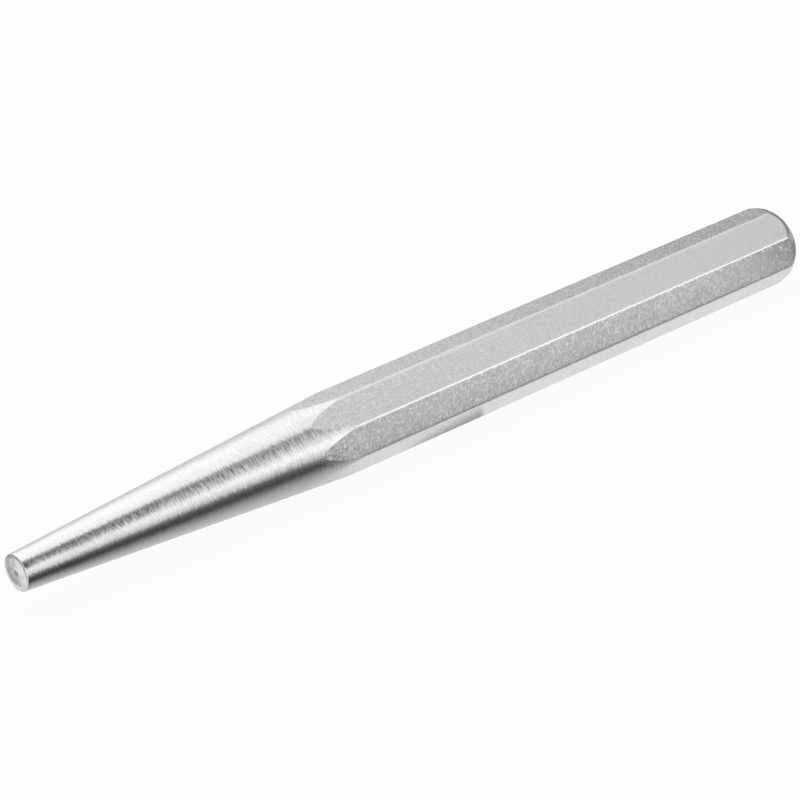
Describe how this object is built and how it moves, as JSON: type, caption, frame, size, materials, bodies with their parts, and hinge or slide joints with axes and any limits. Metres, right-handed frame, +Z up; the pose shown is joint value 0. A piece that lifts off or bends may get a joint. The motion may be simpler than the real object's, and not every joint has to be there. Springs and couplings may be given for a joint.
{
  "type": "nail punch",
  "caption": "Solid steel nail punch: octagonal shank, long ground round taper to a small tip with a shallow hollow and a centre mark, and a rounded striking head.",
  "frame": {"origin": "below the middle of the length, on the surface that the punch lies on", "axes": "+X along the tool from the tip to the striking head, +Z up, out of the flat opposite the one it rests on"},
  "size_m": [0.124, 0.01, 0.01],
  "materials": {
    "steel": "satin shank with a fine grain, taper ground round the axis"
  },
  "bodies": {
    "root": {"punch": "steel"}
  },
  "joints": []
}
